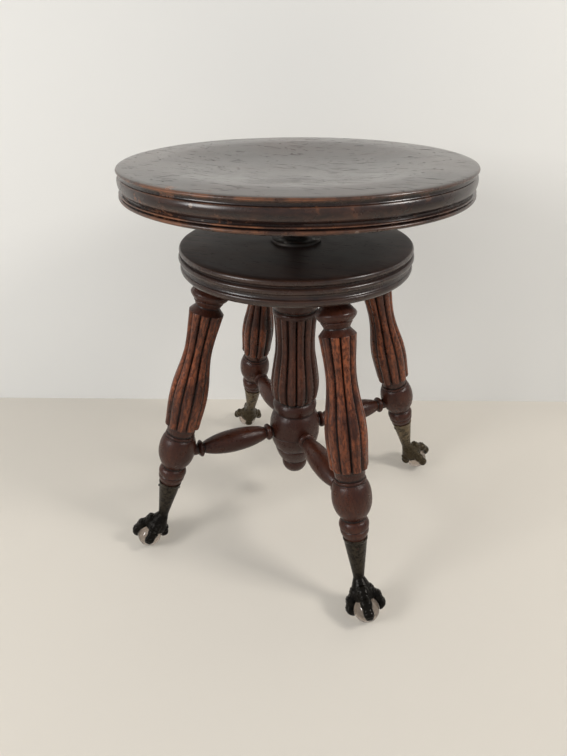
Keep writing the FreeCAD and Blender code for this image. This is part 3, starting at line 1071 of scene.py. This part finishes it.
@dataclass(frozen=True)
class Talon:
    """One talon: where it ends, how far it sweeps round the ball, how high its first knuckle is."""

    ending: tuple[float, float, float]
    sweep: float
    first_knuckle: float


@dataclass
class ClawFoot:
    """Cast foot: ferrule, ankle, web and four scaled talons that hold a glass ball.

    Each of the talon's stations holds the share of the way to its tip, the height over the ball
    and half the width. The web's rings hold a radius and a distance from the ball's centre.
    """

    axis: LegAxis = field(default_factory=LegAxis)
    ball_radius: float = 14.6
    ball_out: float = 205.5
    ferrule_top: float = 271.0
    ankle_at: float = 325.0
    nail_at: float = 280.0
    nail_out: float = 12.7
    nail_radius: float = 1.7
    talon_start: float = 12.0
    corners: int = 24
    parts: int = 10
    voxel: float = 0.42
    stations: tuple[tuple[float, float, float], ...] = (
        (0.0, 11.6, 6.0), (0.13, 13.2, 7.0), (0.28, 10.2, 5.8), (0.42, 11.0, 6.7),
        (0.57, 8.6, 5.5), (0.71, 8.8, 6.0), (0.85, 6.6, 4.6), (1.0, 3.2, 2.4))
    web_rings: tuple[tuple[float, float], ...] = (
        (6.3, 36.5), (10.5, 27.0), (13.6, 20.5), (14.0, 14.0), (11.2, 11.2), (4.0, 15.3))
    talons: tuple[Talon, ...] = (
        Talon((1.0, 0.0, -0.05), 121.0, 3.4),
        Talon((-1.0, 0.0, -0.34), 70.0, 0.4),
        Talon((0.4, 1.0, -0.30), 102.0, 0.6),
        Talon((0.4, -1.0, -0.30), 102.0, 0.6),
    )
    turns: dict[Corner, float] = field(default_factory=lambda: {
        Corner.FRONT_RIGHT: -18.0, Corner.BACK_LEFT: -16.0, Corner.FRONT_LEFT: -13.0})

    @property
    def ball_centre(self) -> Vector:
        """Centre of the ball at azimuth 0."""
        return Vector((self.ball_out, 0.0, self.ball_radius))

    @property
    def pole(self) -> Vector:
        """Direction from the ball's centre to the ankle."""
        return (self.axis.at(self.ankle_at) - self.ball_centre).normalized()

    def turn_of(self, corner: Corner) -> float:
        """Angle in degrees that a foot was turned by when it was fitted."""
        return self.turns.get(corner, 0.0)

    def along_talon(self) -> list[Vector]:
        """Share, height and half width at close stations, smooth through the main ones."""
        knots = [Vector(station) for station in self.stations]
        return [knots[0]] + smooth_through(knots, self.parts)

    def section(self, talon: Talon, station: Vector, foot_turn: float) -> list[Vector]:
        """Corners of a talon's section: a flat sole on the ball, and a scaled ridge.

        Args:
            talon: Which talon.
            station: Share of the way to the tip, height and half width.
            foot_turn: Angle in degrees that the foot was turned by.

        Returns:
            The corners, in millimetres.
        """
        pole = self.pole
        straight = pole.cross(Vector(talon.ending)).normalized()
        side = Matrix.Rotation(math.radians(foot_turn), 3, pole) @ straight
        share, height, width = station
        height += talon.first_knuckle * math.exp(-((share - 0.12) / 0.12) ** 2)
        rounding = max(0.0, (share - 0.9) / 0.1)
        corners = []
        for i in range(self.corners):
            turn = math.tau * i / self.corners
            across = math.copysign(abs(math.cos(turn)) ** 0.8, math.cos(turn))
            lift = 0.5 + 0.5 * math.copysign(abs(math.sin(turn)) ** 0.75, math.sin(turn))
            rise = height * lift
            if lift > 0.3 and share < 0.86:
                rise += 0.95 * self.scale_ridge(share * 13.0 - 0.9 * across * across) * (lift - 0.2)
            sweep = math.radians(self.talon_start + (talon.sweep - self.talon_start) * share)
            out = pole * math.cos(sweep) + side.cross(pole) * math.sin(sweep)
            narrow = 1.0 - 0.35 * rounding
            corners.append(self.ball_centre + out * (self.ball_radius + 0.15 + rise * narrow)
                           + side * (width * across * narrow))
        return corners

    @staticmethod
    def scale_ridge(phase: float) -> float:
        """Height of overlapping scales: a slow rise and a quick drop."""
        part = phase - math.floor(phase)
        return part / 0.75 if part < 0.75 else (1.0 - part) / 0.25

    def sweep_rings(self, mesh: bmesh.types.BMesh, rings: Sequence[Sequence[Vector]]) -> None:
        """Extrude a face through rings of corners.

        Args:
            mesh: Mesh to add it to.
            rings: Corners of each ring, in the same order.
        """
        ring = bmesh.ops.create_circle(mesh, cap_ends=True, radius=1.0, segments=len(rings[0]))["verts"]
        face = next(face for face in ring[0].link_faces)
        for vert, corner in zip(ring, rings[0]):
            vert.co = corner
        for places in rings[1:]:
            order = [ring.index(vert) for vert in face.verts]
            extruded = bmesh.ops.extrude_face_region(mesh, geom=[face])
            face = next(item for item in extruded["geom"] if isinstance(item, bmesh.types.BMFace))
            moved = dict(zip(order, face.verts))
            ring = [moved[i] for i in range(len(ring))]
            for vert, place in zip(ring, places):
                vert.co = place

    def web(self) -> list[list[Vector]]:
        """Rings of the web, from the ankle over the ball's top and back inside.

        Returns:
            The corners of each ring, in millimetres.
        """
        across = Vector((0.0, 1.0, 0.0))
        above = self.pole.cross(across)
        return [[self.ball_centre + self.pole * distance
                 + (across * math.cos(math.tau * i / 40) + above * math.sin(math.tau * i / 40)) * radius
                 for i in range(40)] for radius, distance in self.web_rings]

    def ferrule_outline(self) -> Outline:
        """Outline of the ferrule and ankle down the leg's axis.

        Returns:
            The outline.
        """
        top = -self.ferrule_top
        shape = Outline(0.0, top - 1.6).line((12.6, top - 1.6), (12.7, top - 0.2))
        shape.flow((13.5, top - 0.1), (13.8, top - 1.0), (13.6, top - 2.6), (13.0, top - 3.6), parts=3)
        shape.line((12.9, top - 4.4))
        shape.flow((11.2, top - 17.0), (9.3, top - 30.0), (7.4, top - 43.0), (6.6, top - 49.0),
                   (6.3, top - 54.0), (7.0, top - 60.0), parts=4)
        return shape.line((0.0, top - 60.0))

    def shell(self, foot_turn: float) -> bpy.types.Mesh:
        """One foot at azimuth 0, melted together as a casting.

        Args:
            foot_turn: Angle in degrees that the foot was turned by.

        Returns:
            The mesh, in millimetres.
        """
        mesh = Lathe(sides=64, longest=2.0).turn(self.ferrule_outline())
        tilt = Matrix.Translation((self.axis.out, 0.0, self.axis.top)) @ Matrix.Rotation(
            math.radians(-self.axis.splay), 4, "Y")
        bmesh.ops.transform(mesh, matrix=tilt, verts=mesh.verts)
        for talon in self.talons:
            self.sweep_rings(mesh, [self.section(talon, station, foot_turn)
                                    for station in self.along_talon()])
        self.sweep_rings(mesh, self.web())
        bmesh.ops.recalc_face_normals(mesh, faces=mesh.faces)
        rough = show("foot_rough", settle(mesh, "foot_rough"))
        remesh = rough.modifiers.new("melt", "REMESH")
        remesh.mode = "VOXEL"
        remesh.voxel_size = self.voxel
        remesh.use_smooth_shade = True
        depsgraph = bpy.context.evaluated_depsgraph_get()
        melted = bpy.data.meshes.new_from_object(rough.evaluated_get(depsgraph))
        bpy.data.objects.remove(rough)
        return melted

    def build(self, shop: Workshop) -> None:
        """Make the four feet and their balls.

        Args:
            shop: Workshop that finishes pieces.
        """
        melted = {angle: self.shell(angle) for angle in {self.turn_of(corner) for corner in Corner}}
        for corner in Corner:
            foot = bmesh.new()
            foot.from_mesh(melted[self.turn_of(corner)])
            bmesh.ops.smooth_vert(foot, verts=foot.verts, factor=0.4, use_axis_x=True,
                                  use_axis_y=True, use_axis_z=True)
            bmesh.ops.transform(foot, matrix=turn_z(corner.value), verts=foot.verts)
            label = corner.label
            bronze = BACK_BRONZE if corner in (Corner.BACK_LEFT, Corner.BACK_RIGHT) else FRONT_BRONZE
            shop.finish(foot, f"foot_casting_{label}", bronze, Body.BASE, [f"claw_foot_{label}"],
                        sharp=70.0)
        balls = bmesh.new()
        for corner in Corner:
            place = turn_z(corner.value) @ Matrix.Translation(self.ball_centre)
            bmesh.ops.create_uvsphere(balls, u_segments=64, v_segments=40, radius=self.ball_radius,
                                      matrix=place)
        shop.finish(balls, "ball_glass", GLASS, Body.BASE, ["glass_balls"])
        shop.finish(self.nails(), "nail_heads", NAIL_IRON, Body.BASE, ["ferrule_nails"])

    def nails(self) -> bmesh.types.BMesh:
        """Domed heads of the two nails through each ferrule.

        Returns:
            The heads' mesh, in millimetres.
        """
        mesh = bmesh.new()
        flatter = Matrix.Diagonal((1.0, 1.0, 0.5, 1.0))
        for corner in Corner:
            for side in (1, -1):
                place = (self.axis.placement(corner) @ Matrix.Translation((0.0, 0.0, -self.nail_at))
                         @ turn_z(self.turn_of(corner))
                         @ Matrix.Rotation(math.radians(side * 90), 4, "Y")
                         @ Matrix.Translation((0.0, 0.0, self.nail_out)) @ flatter)
                bmesh.ops.create_uvsphere(mesh, u_segments=16, v_segments=10,
                                          radius=self.nail_radius, matrix=place)
        return mesh


@dataclass
class ScrewGear:
    """Threaded spindle, and the castings and screws that carry the seat on it."""

    radius: float = 8.95
    root: float = 7.5
    pitch: float = 6.0
    thread_steps: int = 40
    top: float = 432.6
    bottom: float = 229.2
    disc_top: float = 379.0
    flange: float = 27.0
    flange_thick: float = 3.5
    nut_bore: float = 9.1
    nut_radius: float = 13.5
    nut_length: float = 40.0
    nut_screw_circle: float = 23.0
    hub: float = 17.5
    hub_bore: float = 9.0
    hub_bottom: float = 404.5
    arm_thick: float = 5.0
    arm_reach: float = 62.0
    arm_end: float = 9.0
    screw_head: float = 4.2

    def build(self, shop: Workshop, nodes: dict[str, bpy.types.Object]) -> None:
        """Make the spindle, the castings and the screws.

        Args:
            shop: Workshop that finishes pieces.
            nodes: CAD nodes by name.
        """
        shop.finish(self.thread(), "spindle_thread", SPINDLE_STEEL, Body.SEAT, ["spindle"], sharp=30.0)
        shop.finish(self.spider(), "spider_casting", CAST_IRON, Body.SEAT, ["seat_spider"], sharp=30.0)
        plate = Lathe(sides=96, longest=4.0).turn(self.plate_outline())
        shop.finish(plate, "nut_casting", CAST_IRON, Body.BASE, ["nut_plate"], sharp=30.0)
        low = self.top - self.arm_thick
        under = [turn_z(45 + 90 * i) @ Matrix.Translation((self.arm_reach, 0.0, low))
                 @ Matrix.Rotation(math.pi, 4, "X") for i in range(4)]
        shop.finish(self.screws(under), "spider_screw_heads", SCREW_STEEL, Body.SEAT,
                    ["spider_screws"], sharp=30.0)
        face = self.disc_top + self.flange_thick
        over = [turn_z(90 * i) @ Matrix.Translation((self.nut_screw_circle, 0.0, face))
                for i in range(4)]
        shop.finish(self.screws(over), "nut_screw_heads", SCREW_STEEL, Body.BASE,
                    ["nut_plate_screws"], sharp=30.0)
        for name in ("stop_washer", "stop_pin"):
            nodes[name].data.materials.clear()
            nodes[name].data.materials.append(SCREW_STEEL.material())

    def plate_outline(self) -> Outline:
        """Outline of the nut plate round its section.

        Returns:
            The outline.
        """
        t = self.disc_top
        low = t - self.nut_length
        bore = self.nut_bore
        face = t + self.flange_thick
        shape = Outline(bore, t + 5.6).line((bore + 0.5, t + 6.0), (bore + 3.4, t + 6.0))
        shape.flow((bore + 4.6, t + 5.4), (bore + 5.6, t + 4.2), (bore + 7.2, face), parts=3)
        shape.line((self.flange - 2.2, face))
        shape.flow((self.flange - 0.8, t + 3.0), (self.flange, t + 1.6), parts=3)
        return shape.line((self.flange, t), (self.nut_radius, t), (self.nut_radius, low), (bore, low),
                          (bore, t + 5.6))

    def spider(self) -> bmesh.types.BMesh:
        """Cast hub with four ribbed arms.

        Returns:
            The mesh, in millimetres.
        """
        low = self.top - self.arm_thick
        bore = self.hub_bore
        shape = Outline(bore, self.hub_bottom).line((self.hub - 1.2, self.hub_bottom))
        shape.line((self.hub, self.hub_bottom + 1.2), (self.hub, self.hub_bottom + 6.0))
        shape.flow((self.hub + 0.8, low - 8.0), (self.hub + 2.4, low - 4.0), (self.hub + 6.0, low), parts=4)
        shape.line((self.hub + 6.5, low + 0.6), (self.hub + 6.5, self.top), (bore, self.top),
                   (bore, self.hub_bottom))
        mesh = Lathe(sides=72, longest=5.0).turn(shape)
        for i in range(4):
            turn = turn_z(45 + 90 * i)
            self.add_bar(mesh, turn, (0.0, self.hub), (self.arm_reach, self.arm_end), low, self.top)
            self.add_pad(mesh, turn, low)
            self.add_rib(mesh, turn, low)
        return mesh

    def add_bar(self, mesh: bmesh.types.BMesh, turn: Matrix, near: tuple[float, float],
                far: tuple[float, float], low: float, high: float) -> None:
        """Add a flat arm that narrows outwards.

        Args:
            mesh: Mesh to add it to.
            turn: Rotation to its azimuth.
            near: Distance and half width at the hub.
            far: Distance and half width at the arm's end.
            low: Height of its underside.
            high: Height of its top.
        """
        verts = bmesh.ops.create_cube(mesh, size=1.0)["verts"]
        for vert in verts:
            reach, half = far if vert.co.x > 0 else near
            vert.co = (reach, math.copysign(half, vert.co.y), high if vert.co.z > 0 else low)
        self.soften(mesh, verts, turn, 0.9)

    def add_pad(self, mesh: bmesh.types.BMesh, turn: Matrix, low: float) -> None:
        """Add the round pad at an arm's end, that its screw goes through.

        Args:
            mesh: Mesh to add it to, in millimetres.
            turn: Rotation to its azimuth.
            low: Height of its underside.
        """
        place = Matrix.Translation((self.arm_reach, 0.0, (low + self.top) / 2))
        made = bmesh.ops.create_cone(mesh, cap_ends=True, segments=40, depth=self.arm_thick,
                                     radius1=self.arm_end - 0.1, radius2=self.arm_end - 0.1,
                                     matrix=place)
        self.soften(mesh, made["verts"], turn, 0.8)

    def add_rib(self, mesh: bmesh.types.BMesh, turn: Matrix, low: float) -> None:
        """Add the rib under an arm, deep at the hub and running out before the pad.

        Args:
            mesh: Mesh to add it to, in millimetres.
            turn: Rotation to its azimuth.
            low: Height of the arm's underside.
        """
        verts = bmesh.ops.create_cube(mesh, size=1.0)["verts"]
        for vert in verts:
            outer = vert.co.x > 0
            depth = 0.2 if outer else low - self.hub_bottom - 3.0
            vert.co = (self.arm_reach - 12.0 if outer else self.hub - 2.0,
                       math.copysign(2.5, vert.co.y), low + 0.5 if vert.co.z > 0 else low - depth)
        self.soften(mesh, verts, turn, 0.7)

    @staticmethod
    def soften(mesh: bmesh.types.BMesh, verts: list[bmesh.types.BMVert], turn: Matrix,
               width: float) -> None:
        """Round a block's edges as a casting has them, and turn it to its azimuth.

        Args:
            mesh: Mesh that holds the block.
            verts: The block's vertices.
            turn: Rotation to its azimuth.
            width: Width of the rounding in millimetres.
        """
        edges = list({edge for vert in verts for edge in vert.link_edges})
        made = bmesh.ops.bevel(mesh, geom=verts + edges, offset=width, offset_type="OFFSET", segments=3,
                               profile=0.5, affect="EDGES", material=-1, clamp_overlap=True)
        kept = {vert for vert in verts if vert.is_valid} | set(made["verts"])
        bmesh.ops.transform(mesh, matrix=turn, verts=list(kept))

    def screws(self, places: Iterable[Matrix]) -> bmesh.types.BMesh:
        """Slotted countersunk heads.

        Args:
            places: Matrices from a head that faces up at the origin to its place.

        Returns:
            The heads' mesh.
        """
        mesh = bmesh.new()
        for number, place in enumerate(places):
            head = bmesh.new()
            bmesh.ops.create_circle(head, cap_ends=True, radius=self.screw_head - 0.1, segments=32)
            for side in (0.5, -0.5):
                bmesh.ops.bisect_plane(head, geom=everything(head), plane_co=(side, 0, 0),
                                       plane_no=(1, 0, 0), dist=1e-4)
            rim = [edge for edge in head.edges if edge.is_boundary]
            skirt = bmesh.ops.extrude_edge_only(head, edges=rim)
            low = [item for item in skirt["geom"] if isinstance(item, bmesh.types.BMVert)]
            bmesh.ops.scale(head, vec=(0.5, 0.5, 1.0), verts=low)
            bmesh.ops.translate(head, vec=(0, 0, -2.0), verts=low)
            strip = [face for face in head.faces
                     if abs(face.calc_center_median().x) < 0.4 and abs(face.normal.z) > 0.9]
            slot = bmesh.ops.extrude_face_region(head, geom=strip)
            floor = [item for item in slot["geom"] if isinstance(item, bmesh.types.BMVert)]
            bmesh.ops.translate(head, vec=(0, 0, -0.9), verts=floor)
            bmesh.ops.delete(head, geom=[face for face in strip if face.is_valid],
                             context="FACES_KEEP_BOUNDARY")
            bmesh.ops.recalc_face_normals(head, faces=head.faces)
            seated = place @ Matrix.Translation((0, 0, 0.05)) @ turn_z(37 * number + 20)
            bmesh.ops.transform(head, matrix=seated, verts=head.verts)
            absorb(mesh, head)
        return mesh

    def thread(self) -> bmesh.types.BMesh:
        """Right-handed trapezoidal thread on a round core.

        Returns:
            The mesh, in millimetres.
        """
        mesh = bmesh.new()
        tooth = ((self.root, 0.0), (self.root, 0.26), (self.radius, 0.42), (self.radius, 0.84),
                 (self.root, 1.0))
        start = self.bottom + 2.0
        verts = [mesh.verts.new((r, 0.0, start + share * self.pitch)) for r, share in tooth]
        edges = [mesh.edges.new(pair) for pair in zip(verts, verts[1:])]
        turns = int((self.top - 3.0 - start) / self.pitch) - 1
        bmesh.ops.spin(mesh, geom=verts + edges, cent=(0, 0, 0), axis=UP,
                       dvec=(0, 0, self.pitch / self.thread_steps), angle=math.tau * turns,
                       steps=self.thread_steps * turns, use_merge=False, use_duplicate=False)
        bmesh.ops.remove_doubles(mesh, verts=mesh.verts, dist=1e-3)
        shape = Outline(0.0, self.top).line((self.radius, self.top), (self.radius, self.top - 8.0),
                                            (self.root + 0.01, self.top - 9.5),
                                            (self.root + 0.01, self.bottom + 1.5),
                                            (self.root - 1.5, self.bottom), (0.0, self.bottom))
        absorb(mesh, Lathe(sides=self.thread_steps, longest=400.0).turn(shape))
        bmesh.ops.recalc_face_normals(mesh, faces=mesh.faces)
        return mesh


@dataclass(frozen=True)
class Lamp:
    """Soft square lamp. Its place is in the camera's frame, and its power is in watts."""

    name: str
    place: tuple[float, float, float]
    size: float
    power: float
    colour: Colour


@dataclass
class Studio:
    """Pale floor and wall, soft lamps, and the camera at the photograph's angle."""

    camera_azimuth: float = -68.5
    camera_distance: float = 582.2
    camera_height: float = 548.75
    pitch: float = 30.6
    yaw: float = -1.415
    roll: float = -0.361
    focal: float = 540.4
    photo_height: float = 756.0
    wall_distance: float = 266.0
    floor_colour: Colour = (0.62, 0.58, 0.515)
    wall_colour: Colour = (0.70, 0.69, 0.66)
    stage_size: float = 6000.0
    glow: float = 0.2
    sky_colour: Colour = (0.95, 0.97, 1.0)
    sky_strength: float = 0.44
    aim: tuple[float, float, float] = (0.0, 0.0, 150.0)
    lamps: tuple[Lamp, ...] = (
        Lamp("left", (-1210.0, -850.0, 900.0), 560.0, 12.0, (1.0, 0.99, 0.98)),
        Lamp("right", (1165.0, -460.0, 1250.0), 360.0, 11.5, (1.0, 0.965, 0.92)))
    sensor: float = 36.0

    def build(self) -> None:
        """Make the stage, the lamps and the camera."""
        self.make_stage()
        self.light()
        self.make_camera()

    @property
    def turn(self) -> Matrix:
        """Rotation from the camera's frame, which looks along +Y, to the object's."""
        return turn_z(self.camera_azimuth + 90.0)

    def make_stage(self) -> None:
        """Floor and wall that are seen only from their front."""
        upright = Matrix.Rotation(math.radians(90), 4, "X")
        behind = Matrix.Translation((0.0, self.wall_distance, self.stage_size / 2))
        for name, colour, place in (("floor", self.floor_colour, Matrix.Identity(4)),
                                    ("wall", self.wall_colour, behind @ upright)):
            mesh = bmesh.new()
            bmesh.ops.create_grid(mesh, x_segments=1, y_segments=1, size=self.stage_size / 2,
                                  matrix=self.turn @ place)
            bmesh.ops.scale(mesh, vec=(MM, MM, MM), verts=mesh.verts)
            plane = show(name, settle(mesh, name))
            plane.data.materials.append(self.paper(name, colour))
            plane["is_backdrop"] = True

    def paper(self, name: str, colour: Colour) -> bpy.types.Material:
        """Plain paper that is clear from behind.

        Args:
            name: Name of the plane that it covers.
            colour: Its colour.

        Returns:
            The material.
        """
        shader = Shader(f"{name}_paper")
        shader.surface.inputs["Roughness"].default_value = 0.75
        shader.surface.inputs["Specular IOR Level"].default_value = 0.2
        shader.surface.inputs["Base Color"].default_value = (*colour, 1.0)
        clear = shader.node("ShaderNodeBsdfTransparent")
        path = shader.node("ShaderNodeLightPath").outputs
        seen = shader.most(path["Is Camera Ray"],
                           shader.most(path["Is Glossy Ray"], path["Is Transmission Ray"]))
        glow = shader.node("ShaderNodeEmission", {"Color": (*colour, 1.0),
                                                  "Strength": shader.times(seen, self.glow)})
        lit = shader.node("ShaderNodeAddShader", {0: shader.surface.outputs[0], 1: glow.outputs[0]})
        back = shader.node("ShaderNodeNewGeometry").outputs["Backfacing"]
        mix = shader.node("ShaderNodeMixShader", {0: back, 1: lit.outputs[0], 2: clear.outputs[0]})
        shader.put(shader.output.inputs["Surface"], mix.outputs[0])
        return shader.material

    def light(self) -> None:
        """A soft lamp on each side of the camera and an even sky."""
        world = bpy.data.worlds.new("sky")
        bpy.context.scene.world = world
        world.use_nodes = True
        sky = world.node_tree.nodes["Background"]
        sky.inputs["Color"].default_value = (*self.sky_colour, 1.0)
        sky.inputs["Strength"].default_value = self.sky_strength
        for lamp in self.lamps:
            data = bpy.data.lights.new(lamp.name, "AREA")
            data.size = lamp.size * MM
            data.energy = lamp.power
            data.color = lamp.colour
            item = show(lamp.name, data)
            spot = self.turn @ Vector(lamp.place) * MM
            facing = self.turn @ Vector(self.aim) * MM - spot
            item.location = spot
            item.rotation_euler = facing.to_track_quat("-Z", "Y").to_euler()

    def make_camera(self) -> None:
        """Camera at the photograph's viewing angle."""
        lens = bpy.data.cameras.new("camera")
        lens.sensor_width = self.sensor
        lens.lens = self.focal / self.photo_height * self.sensor
        item = show("camera", lens)
        pitch, yaw, roll = (math.radians(a) for a in (self.pitch, self.yaw, self.roll))
        forward = Vector((math.sin(yaw) * math.cos(pitch), math.cos(yaw) * math.cos(pitch),
                          -math.sin(pitch)))
        right = forward.cross(UP).normalized()
        above = right.cross(forward)
        right, above = (math.cos(roll) * right + math.sin(roll) * above,
                        math.cos(roll) * above - math.sin(roll) * right)
        place = Matrix.Identity(4)
        for column, axis in enumerate((right, above, -forward)):
            for row in range(3):
                place[row][column] = axis[row]
        place.translation = Vector((0.0, -self.camera_distance, self.camera_height)) * MM
        item.matrix_world = self.turn @ place
        bpy.context.scene.camera = item


def main() -> None:
    """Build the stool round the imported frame."""
    logging.basicConfig(level=logging.INFO, format="%(name)s: %(message)s")
    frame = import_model()
    cad_box = [corner.copy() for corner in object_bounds()]
    bpy.context.scene.view_settings.view_transform = "Standard"
    shop = Workshop()
    SeatBoard().build(shop)
    BaseDisc().build(shop)
    CentreColumn().build(shop)
    for corner in Corner:
        Leg(corner).build(shop)
        Stretcher(corner).build(shop)
    ClawFoot().build(shop)
    ScrewGear().build(shop, frame["nodes"])
    Studio().build()
    LOG.info("%d pieces made", len(shop.pieces))


if __name__ == "__main__":
    main()
